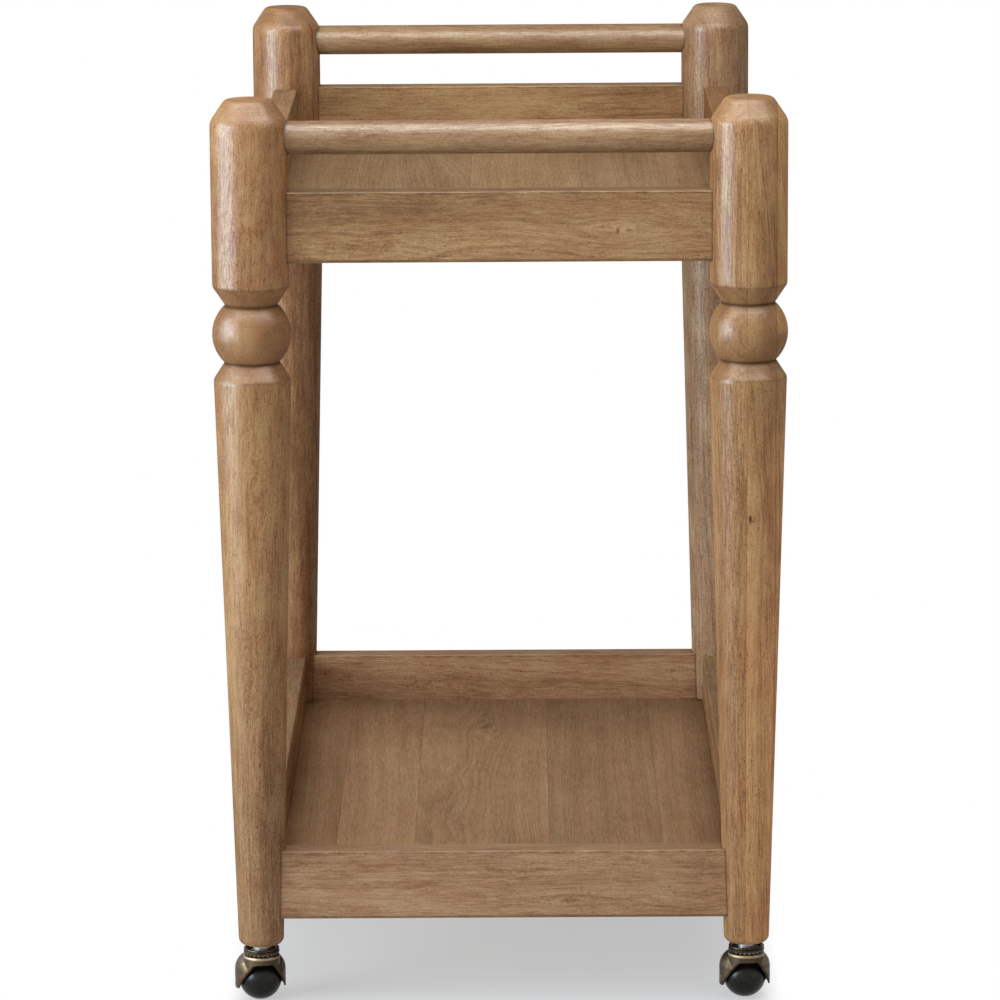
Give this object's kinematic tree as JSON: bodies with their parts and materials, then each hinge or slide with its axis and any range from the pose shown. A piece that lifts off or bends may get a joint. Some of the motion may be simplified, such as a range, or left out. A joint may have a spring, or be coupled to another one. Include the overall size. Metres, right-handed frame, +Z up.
{
  "type": "bar cart",
  "caption": "Wooden bar cart with turned, tapered posts, two railed trays, a round handle rail at each end and swivelling hooded ball casters.",
  "frame": {"origin": "centre of the cart on the floor, midway between the four posts", "axes": "+X across the cart to its right, +Y along its length from the front handle to the back one, +Z up"},
  "size_m": [0.5297, 0.8726, 0.856],
  "materials": {
    "post_wood": "satin toasted brown hardwood, turned, darker glaze in the grooves",
    "handle_wood": "satin toasted brown hardwood, turned",
    "rail_wood": "satin toasted brown hardwood, grain along the rail",
    "panel_wood": "satin brown glued-up boards, grain along the cart",
    "pin_wood": "plain hardwood dowel",
    "nickel": "nickel plated",
    "dark_bronze": "dark antique bronze, polished on the rims",
    "bearing_steel": "bare steel",
    "antique_brass": "antique brass, dulled, brighter on the edges",
    "black_wheel": "black, satin"
  },
  "bodies": {
    "frame": {"post_front_left": "post_wood", "post_front_right": "post_wood", "post_back_left": "post_wood", "post_back_right": "post_wood", "handle_rail_front": "handle_wood", "handle_rail_back": "handle_wood", "upper_end_rail_front": "rail_wood", "upper_end_rail_back": "rail_wood", "upper_side_rail_left": "rail_wood", "upper_side_rail_right": "rail_wood", "upper_tray_panel": "panel_wood", "upper_tray_dowel_pins": "pin_wood", "lower_end_rail_front": "rail_wood", "lower_end_rail_back": "rail_wood", "lower_side_rail_left": "rail_wood", "lower_side_rail_right": "rail_wood", "lower_tray_panel": "panel_wood", "lower_tray_dowel_pins": "pin_wood", "caster_socket_front_left": "nickel", "caster_stem_front_left": "nickel", "caster_race_cap_front_left": "dark_bronze", "caster_ball_race_front_left": "bearing_steel", "caster_socket_front_right": "nickel", "caster_stem_front_right": "nickel", "caster_race_cap_front_right": "dark_bronze", "caster_ball_race_front_right": "bearing_steel", "caster_socket_back_left": "nickel", "caster_stem_back_left": "nickel", "caster_race_cap_back_left": "dark_bronze", "caster_ball_race_back_left": "bearing_steel", "caster_socket_back_right": "nickel", "caster_stem_back_right": "nickel", "caster_race_cap_back_right": "dark_bronze", "caster_ball_race_back_right": "bearing_steel"},
    "swivel_front_left": {"caster_hood_front_left": "antique_brass", "caster_axle_front_left": "bearing_steel"},
    "wheel_front_left": {"caster_ball_wheel_front_left": "black_wheel"},
    "swivel_front_right": {"caster_hood_front_right": "antique_brass", "caster_axle_front_right": "bearing_steel"},
    "wheel_front_right": {"caster_ball_wheel_front_right": "black_wheel"},
    "swivel_back_left": {"caster_hood_back_left": "antique_brass", "caster_axle_back_left": "bearing_steel"},
    "wheel_back_left": {"caster_ball_wheel_back_left": "black_wheel"},
    "swivel_back_right": {"caster_hood_back_right": "antique_brass", "caster_axle_back_right": "bearing_steel"},
    "wheel_back_right": {"caster_ball_wheel_back_right": "black_wheel"}
  },
  "joints": [
    {"name": "caster_swivel_front_left", "type": "hinge", "parent": "frame", "child": "swivel_front_left", "pos_m": [-0.2285, -0.4, 0.0466], "axis": [0, 0, 1], "continuous": true},
    {"name": "caster_roll_front_left", "type": "hinge", "parent": "swivel_front_left", "child": "wheel_front_left", "pos_m": [-0.23043, -0.3909, 0.02], "axis": [0.9781, 0.2079, 0], "continuous": true},
    {"name": "caster_swivel_front_right", "type": "hinge", "parent": "frame", "child": "swivel_front_right", "pos_m": [0.2285, -0.4, 0.0466], "axis": [0, 0, 1], "continuous": true},
    {"name": "caster_roll_front_right", "type": "hinge", "parent": "swivel_front_right", "child": "wheel_front_right", "pos_m": [0.22737, -0.39077, 0.02], "axis": [0.9925, 0.1219, 0], "continuous": true},
    {"name": "caster_swivel_back_left", "type": "hinge", "parent": "frame", "child": "swivel_back_left", "pos_m": [-0.2285, 0.4, 0.0466], "axis": [0, 0, 1], "continuous": true},
    {"name": "caster_roll_back_left", "type": "hinge", "parent": "swivel_back_left", "child": "wheel_back_left", "pos_m": [-0.22963, 0.40923, 0.02], "axis": [0.9925, 0.1219, 0], "continuous": true},
    {"name": "caster_swivel_back_right", "type": "hinge", "parent": "frame", "child": "swivel_back_right", "pos_m": [0.2285, 0.4, 0.0466], "axis": [0, 0, 1], "continuous": true},
    {"name": "caster_roll_back_right", "type": "hinge", "parent": "swivel_back_right", "child": "wheel_back_right", "pos_m": [0.22785, 0.40928, 0.02], "axis": [0.9976, 0.0698, 0], "continuous": true}
  ]
}
